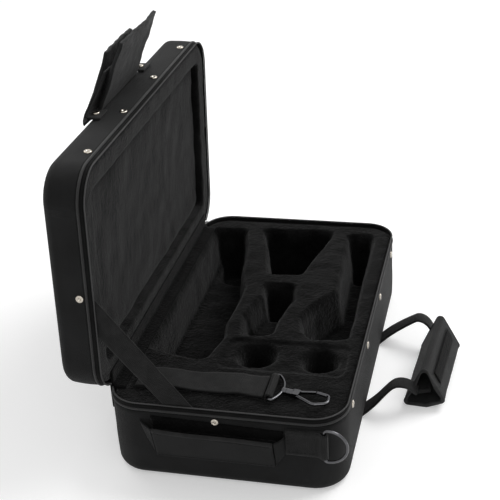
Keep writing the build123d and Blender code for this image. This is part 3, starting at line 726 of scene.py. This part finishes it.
def pocket():
    def face(u, v):
        across = (u - 0.5) * POCKET_W
        up = POCKET_LOW + v * (pocket_top(u) - POCKET_LOW)
        swell = 0.5 * math.sin(math.pi * v) * math.sin(math.pi * u)
        return pocket_point(across, up, 1.0 + swell + pocket_slack(u, v))

    panel = slab("pocket_cloth", face, 60, 24, 1.5)
    finish_piece(panel, "pocket", "nylon_cloth", replaced=("pocket_panel",))

    def hem(u, v):
        angle = math.pi * (0.1 + 1.8 * v)
        up = pocket_top(u) - 1.7 + 3.4 * math.sin(angle / 2)
        out = 1.0 + pocket_slack(u, 1) - 1.25 * math.cos(angle / 2)
        return pocket_point((u - 0.5) * POCKET_W, up - 0.6, out)

    edge = slab("pocket_hem", hem, 60, 10, 0.7)
    finish_piece(edge, "pocket", "binding_tape", replaced=("pocket_binding",))
    ends = ((1 - POCKET_W / 2, 0.01), (POCKET_W / 2 - 1, 0.99))
    low_run = [pocket_point(x, POCKET_LOW + 1.6, STITCH_OUT) for x, _ in ends]
    high_run = [pocket_point(x, pocket_top(u) - 3.4, STITCH_OUT) for x, u in ends]
    runs = [(*low_run, (0, -1, 0)), (*high_run, (0, -1, 0))]
    stitches("pocket_stitches", runs, "pocket", "nylon_cloth")

    def back(u, v):
        """Painted shade: a smooth near-black sheet on the case behind and above the pocket's mouth, where
        the leaning pocket shades the face.
        """
        return (BACK_X + BACK_LENGTH * u, SHADE_SHEET_Y, BACK_LOW + v * (BACK_HEIGHT - BACK_DROP * u))

    # painted shade: a near-black sheet standing in for the shade in and above the pocket's mouth
    dark_sheet = slab("pocket_mouth_painted_shade", back, 40, 6, 0.5)
    finish_piece(dark_sheet, "case_base", "lining_cloth")
    for side, name, flare, fold, top in GUSSETS:
        edge_x = side * (POCKET_W / 2 + 0.9)

        def gusset(u, v, side=side, edge_x=edge_x, flare=flare, fold=fold, top=top):
            up = POCKET_LOW + v * (top - POCKET_LOW)
            lean = up * math.sin(LEAN)
            pleat = math.sin(math.pi * u) * 3.2 * v
            spread = flare * v + fold * math.sin(math.pi * v)
            x = POCKET_X + edge_x + side * (spread * u + pleat * 0.35)
            y = GUSSET_Y - lean * (1 - u) * (1 - 0.25 * math.sin(math.pi * u)) - pleat * 0.3
            z = POCKET_Z + up * math.cos(LEAN) * (1 - u) + u * (3 + v * (top - 1))
            return (x, y, z)

        cloth_side = slab("pocket_gusset_cloth_" + name, gusset, 16, 20, 0.9)
        finish_piece(cloth_side, None, "nylon_cloth", replaced=("pocket_gusset_" + name,))
        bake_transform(cloth_side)


# ---- D-ring tabs ---------------------------------------------------------------------------------
RING_Z, TAB_WIDTH, STITCH_INSET = 53.0, 24.4, 2.6


def ring_tabs():
    for side, name, bar_x in ((-1, "near", 88.0), (1, "far", 61.0)):
        profile = [
            (bar_x - 32.8, 181.15), (bar_x - 4, 181.15), (bar_x, 181.1), (bar_x + 2.1, 182.0),
            (bar_x + 2.6, 183.7), (bar_x + 2.1, 185.4), (bar_x, 186.2), (bar_x - 2.0, 185.7),
            (bar_x - 4.4, 183.4), (bar_x - 7.0, 182.85), (bar_x - 32.8, 182.85),
        ]
        path = along(smooth_path(profile, 70, 2))

        def surface(u, v, side=side, path=path):
            x, y = path(u)
            return (x, side * y, RING_Z + (v - 0.5) * TAB_WIDTH)

        tab = slab("ring_tab_" + name, surface, 70, 10, 1.4)
        finish_piece(tab, "case_base", "webbing", replaced=("d_ring_tab_" + name,))
        y = side * 183.65
        low, high = RING_Z - TAB_WIDTH / 2 + STITCH_INSET, RING_Z + TAB_WIDTH / 2 - STITCH_INSET
        left, right = bar_x - 31, bar_x - 8
        runs = [((left, y, z), (right, y, z), (0, side, 0)) for z in (low, high)]
        runs += [((x, y, low), (x, y, high), (0, side, 0)) for x in (left, right)]
        stitches("ring_tab_stitches_" + name, runs, "case_base")


# ---- base handle ------------------------------------------------------------------------------------
HANDLE_X, HANDLE_Y, HANDLE_YAW = 158.0, 4.5, math.radians(4.3)
HANDLE_SPAN, GRIP_Z, GRIP_TILT = 62.0, 15.0, math.radians(-16)
WRAP_HALF, WRAP_CORNER, WRAP_WALL = 47.0, 4.0, 3.2
WRAP_SECTION = ((139.5, 0.4), (163.0, 0.4), (181.0, 8.5), (159.5, 47.0))
WRAP_CENTRE = (161.0, 16.0)
STRAP_FOOT, STRAP_HUMP = [(102.2, 1.64), (113.3, 12.5)], ((26, 9.5), (18, 16), (7, 12.5))


def yawed(p):
    p = np.array(p, float)
    x, y = p[..., 0] - HANDLE_X, p[..., 1] - HANDLE_Y
    c, s = math.cos(-HANDLE_YAW), math.sin(-HANDLE_YAW)
    q = p.copy()
    q[..., 0] = HANDLE_X + x * c - y * s
    q[..., 1] = HANDLE_Y + x * s + y * c
    return q


def strap_seat(side):
    rise, back = 3.3, 2.3
    x = HANDLE_X + side * HANDLE_SPAN * math.sin(HANDLE_YAW)
    x += rise * math.sin(GRIP_TILT) - back * math.cos(GRIP_TILT)
    return x, GRIP_Z + rise * math.cos(GRIP_TILT) + back * math.sin(GRIP_TILT)


def wrap_outline(steps=5):
    """The wrap's section, rounded, as (x, z) points."""
    corners = np.array(WRAP_SECTION)
    result = []
    for i, p in enumerate(corners):
        to_last, to_next = unit(corners[i - 1] - p), unit(corners[(i + 1) % len(corners)] - p)
        half = math.acos(np.clip(to_last @ to_next, -1, 1)) / 2
        centre = p + unit(to_last + to_next) * (WRAP_CORNER / math.sin(half))
        start, end = p + to_last * WRAP_CORNER / math.tan(half), p + to_next * WRAP_CORNER / math.tan(half)
        for f in np.linspace(0, 1, steps + 1):
            result.append(centre + unit((start - centre) * (1 - f) + (end - centre) * f) * WRAP_CORNER)
    return np.array(result)


def dense(points, step):
    """Adds points so that no side of a closed outline is longer than step."""
    out = []
    for a, b in zip(points, np.roll(points, -1, axis=0)):
        n = max(1, int(math.ceil(np.linalg.norm(b - a) / step)))
        out += [a + (b - a) * k / n for k in range(n)]
    return np.array(out)


def tube(name, sections):
    """Closed tube wall through equal sections of points; outer there and inner back."""
    count = len(sections[0])
    points = np.concatenate(sections)
    faces = []
    total = len(sections)
    for r in range(total):
        n_r = (r + 1) % total
        for k in range(count):
            n = (k + 1) % count
            faces.append([r * count + k, r * count + n, n_r * count + n, n_r * count + k])
    girth = np.concatenate([[0], np.cumsum(np.linalg.norm(np.diff(sections[0], axis=0), axis=1))])
    uv = []
    for section in sections:
        uv.append(np.stack([girth, np.full(count, section[0][1])], -1))
    return new_mesh(name, points, faces, np.concatenate(uv))


def base_handle():
    for side, name in ((-1, "near"), (1, "far")):
        seat_x, seat_z = strap_seat(side)
        hump = [(seat_x - back, seat_z + up) for back, up in STRAP_HUMP]
        profile = STRAP_FOOT + hump + [(seat_x, seat_z)]
        path = along(smooth_path(profile, 60, 3))

        def surface(u, v, side=side, path=path):
            x, z = path(u)
            width = 20.5 - 5.5 * min(1.0, 1.6 * u)
            turn = 15.0 * max(0.0, u - 0.35) ** 2 / 0.42
            y = HANDLE_Y + side * (HANDLE_SPAN - turn) + (v - 0.5) * width
            curl = 0.8 * math.sin(math.pi * v) * math.sin(math.pi * u)
            return (x, y, z + curl)

        strap = slab("handle_strap_" + name, surface, 60, 8, 1.7)
        finish_piece(strap, None, "webbing", replaced=("base_handle_straps",) if side < 0 else ())
        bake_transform(strap)
    outer = dense(wrap_outline(), 2.0)
    centre = np.array(WRAP_CENTRE)
    inner = outer - unit(outer - centre) * WRAP_WALL
    sections = []
    ys = np.linspace(-WRAP_HALF, WRAP_HALF, 36)
    for y in ys:
        sag = 1 - 0.012 * math.cos(math.pi * y / (2 * WRAP_HALF))
        wob = np.array([0.45 * noise.noise(Vector((p[0] * 0.08, y * 0.05, p[1] * 0.08))) for p in outer])
        ring = centre + (outer - centre) * sag + unit(outer - centre) * wob[:, None]
        sections.append(np.stack([ring[:, 0], np.full(len(ring), HANDLE_Y + y), ring[:, 1]], -1))
    for y in ys[::-1]:
        sections.append(np.stack([inner[:, 0], np.full(len(inner), HANDLE_Y + y), inner[:, 1]], -1))
    wrap = tube("handle_wrap_cloth", [yawed(s) for s in sections])
    finish_piece(wrap, "base_handle", "wrap_cloth", replaced=("handle_wrap",))
    middle = (outer + inner) / 2
    for side, name in ((-1, "near"), (1, "far")):
        sections = []
        for turn in np.linspace(0, 2 * math.pi, 12)[:-1]:
            ring = middle + unit(outer - centre) * 2.15 * math.cos(turn)
            y = HANDLE_Y + side * (WRAP_HALF + 0.6) + 1.7 * math.sin(turn)
            sections.append(yawed(np.stack([ring[:, 0], np.full(len(ring), y), ring[:, 1] + 0.3], -1)))
        edge = tube("handle_wrap_edge_" + name, sections)
        finish_piece(
            edge, "base_handle", "binding_tape", WRAP_EDGE, ("handle_wrap_binding",) if side < 0 else (),
        )

    def grip(u, v):
        y = HANDLE_Y + (WRAP_HALF - 3) * (2 * u - 1)
        s = (v - 0.5) * 15
        return yawed((HANDLE_X + s * math.cos(GRIP_TILT), y, GRIP_Z - s * math.sin(GRIP_TILT)))

    bar = slab("handle_grip_webbing", grip, 60, 8, 4.4)
    finish_piece(bar, "base_handle", "webbing", replaced=("handle_bar",))
    low, high = np.array(WRAP_SECTION[2]), np.array(WRAP_SECTION[3])
    ahead = unit(high - low)
    outward = np.array([ahead[1], -ahead[0]])

    def flap(u, v):
        s = (v - 0.5) * 12.5
        p = (low + high) / 2 + ahead * s + outward * (0.75 + 0.25 * math.sin(math.pi * v))
        return yawed((p[0], HANDLE_Y + (WRAP_HALF - 8) * (2 * u - 1), p[1]))

    tab = slab("handle_wrap_flap", flap, 40, 8, 1.0)
    finish_piece(tab, "base_handle", "hook_and_loop", replaced=("handle_wrap_tab",))
    runs = []
    for s in (-7.6, 7.4):
        p = (low + high) / 2 + ahead * s + outward * 0.25
        a, b = yawed([(p[0], HANDLE_Y + y, p[1]) for y in (4 - WRAP_HALF, WRAP_HALF - 4)])
        runs.append((a, b, (outward[0], 0, outward[1])))
    stitches("handle_wrap_stitches", runs, "base_handle", "wrap_cloth")


# ---- lid handle --------------------------------------------------------------------------------------
LID_CORNER_X, _, LID_CORNER_Z = opened([(HALF_W, 0, LID_TOP)])[0]
LID_WRAP = ((4.75, 43.8), (-0.8, 9.0), (-1.6, -1.6), (4.6, -0.2), (7.6, 7.2), (29.75, 60.8))
LID_WRAP_SLANT = ((0, -76), (7, -58.5), (17, -41), (31, -25), (44, -17))   # height, near end
LID_STRAP = ((12.0, 1.3), (-1.5, 1.3), (12.98, 35.6))
LID_GRIP, LID_GRIP_LEAN = (12.2, 27.3), math.radians(22.7)
LID_WRAP_HALF, LID_OUTER_LEG = 48.0, 0.40     # the outer leg's share of the wrap's girth


def over_lid(place):
    """A place given out and up from the open lid's upper outer corner."""
    return (LID_CORNER_X + place[0], LID_CORNER_Z + place[1])


def lid_handle():
    foot, fold, top = [np.array(over_lid(p)) for p in LID_STRAP]
    path = along(smooth_path([foot, fold + (5, 0), fold, fold + (0.4, 3.5), (fold + top) / 2, top], 50, 2))
    for side, name in ((-1, "near"), (1, "far")):

        def surface(u, v, side=side):
            x, z = path(u)
            width = 21.0 - 5.0 * u
            y = HANDLE_Y + side * (HANDLE_SPAN - 19.0 * max(0.0, u - 0.3) / 0.7) + (v - 0.5) * width
            return (x, y, z)

        strap = slab("lid_handle_strap_" + name, surface, 50, 8, 1.7)
        finish_piece(strap, None, "webbing", replaced=("lid_handle_straps",) if side < 0 else ())
        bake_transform(strap)
    corners = [np.array(over_lid(p)) for p in LID_WRAP]
    wrap_path = along(smooth_path(corners, 90, 3))

    def wrap(u, v):
        x, z = wrap_path(u)
        near = np.interp(LID_WRAP[0][1] * (1 - u / LID_OUTER_LEG), *zip(*LID_WRAP_SLANT))
        if u > LID_OUTER_LEG:
            near = -44.0 - 6.0 * max(0.0, 1 - (u - LID_OUTER_LEG) / 0.25)
        y = near + (HANDLE_Y + LID_WRAP_HALF - near) * v
        loose = min(1.0, abs(u - LID_OUTER_LEG - 0.03) * 5)
        ripple = 1.6 * noise.noise(Vector((u * 6.0, v * 5.0, 3.3)))
        ripple += 0.7 * noise.noise(Vector((u * 13.0, v * 12.0, 8.1)))
        bow = 1.6 * math.sin(math.pi * v) * (u - 0.35)
        return (x + (ripple + bow) * loose, y, z)

    cover = slab("lid_handle_wrap_cloth", wrap, 90, 50, 3.0)
    finish_piece(cover, "lid_handle", "wrap_cloth", replaced=("lid_handle_wrap",))
    grip_x, grip_z = over_lid(LID_GRIP)

    def grip(u, v):
        s = (v - 0.5) * 22
        y = HANDLE_Y + (LID_WRAP_HALF - 3) * (2 * u - 1)
        return (grip_x + s * math.sin(LID_GRIP_LEAN), y, grip_z + s * math.cos(LID_GRIP_LEAN))

    bar = slab("lid_handle_webbing", grip, 60, 8, 2.1)
    finish_piece(bar, "lid_handle", "webbing", replaced=("lid_handle_bar",))


# ---- stay and shoulder strap ---------------------------------------------------------------------------
STAY_Y, STAY_BASE_Z, STAY_LID_Z = -177.8, 71.7, 81.5
STAY_BASE_X, STAY_LID_X = (-46.8, -21.8), (-37.5, -2.0)     # the band's two edges
STRAP_Y, STRAP_Z, STRAP_END_X = -139, 72.3, 31
LOOP_X, LOOP_Z, LOOP_RADIUS, LOOP_Y = 35.2, 75.9, 2.7, (-155.4, -122.6)


def stay():
    lower, upper = [opened([(x, 0, STAY_LID_Z)])[0] for x in STAY_LID_X]
    a, b = [np.array([x, STAY_BASE_Z]) for x in STAY_BASE_X]
    c, d = np.array([upper[0], upper[2]]), np.array([lower[0], lower[2]])

    def surface(u, v):
        p = (a * (1 - u) + d * u) * (1 - v) + (b * (1 - u) + c * u) * v
        return (p[0], STAY_Y + 0.12 * math.sin(6 * u), p[1])

    band = slab("lid_stay_webbing", surface, 90, 10, 0.9)
    finish_piece(band, None, "webbing", replaced=("lid_stay",))
    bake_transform(band)


def shoulder_strap():
    top = STRAP_Z
    profile = [
        (-34, top + 0.8), (-60, top + 0.8), (-82, top + 0.8), (-84.4, top + 2.0), (-82, top + 3.1),
        (-60, top + 3.1), (-20, top + 3.4), (10, top + 3.1), (30.3, top + 3.1),
    ]
    path = along(smooth_path(profile, 150, 2))

    def surface(u, v):
        x, z = path(u)
        upper = max(0.0, min(1.0, (u - 0.33) / 0.1))
        fade = min(1, (STRAP_END_X - x) / 12)
        wave = upper * (0.7 * math.sin(x * 0.11 + 2.4 * v) + 0.35 * math.sin(x * 0.23)) * fade
        edge = 0.7 * math.sin(x * 0.09 + 1.0) * upper * fade
        width = 28.0 + 3.0 * max(0.0, (x + 30) / (STRAP_END_X + 30))
        return (x, STRAP_Y + (v - 0.5) * width + edge, z + max(wave, -0.5) + 0.3 * upper)

    band = slab("shoulder_strap_webbing", surface, 150, 14, 1.4)
    finish_piece(band, "shoulder_strap", "webbing", replaced=("strap_webbing",))
    turns = np.linspace(math.pi * 0.92, -math.pi * 0.95, 30)
    ring = [(LOOP_X + LOOP_RADIUS * math.cos(t), LOOP_Z + LOOP_RADIUS * math.sin(t)) for t in turns]
    loop = ribbon("shoulder_strap_loop", ring, *LOOP_Y, 1.6, 40, 12, 0)
    finish_piece(loop, "shoulder_strap", "webbing", replaced=("strap_loop",))


# ---- build ----------------------------------------------------------------------------------------------
make_camera()
make_stage()
for node, obj in frame["nodes"].items():
    slot = next(s["material_slot"] for s in frame["record"]["subparts"] if s["node"] == node)
    obj.data.materials.clear()
    obj.data.materials.append(MATERIALS[slot])
base_cover = shell_cover("base_cover", (0.0, BASE_RIM), False, 0.0)
finish_piece(base_cover, "case_base", "nylon_cloth", replaced=("base_shell",))
lid_cover = shell_cover("lid_cover", (LID_TOP, LID_RIM), True, 7.0)
finish_piece(lid_cover, "lid", "nylon_cloth", replaced=("lid_shell",))
zipper_set("base", BASE_RIM, 1, False, "case_base")
zipper_set("lid", LID_RIM, -1, True, "lid")
base_insert()
lid_lining()
hinge_cloth()
pocket()
ring_tabs()
base_handle()
lid_handle()
stay()
shoulder_strap()

bpy.context.scene.view_settings.view_transform = "Standard"
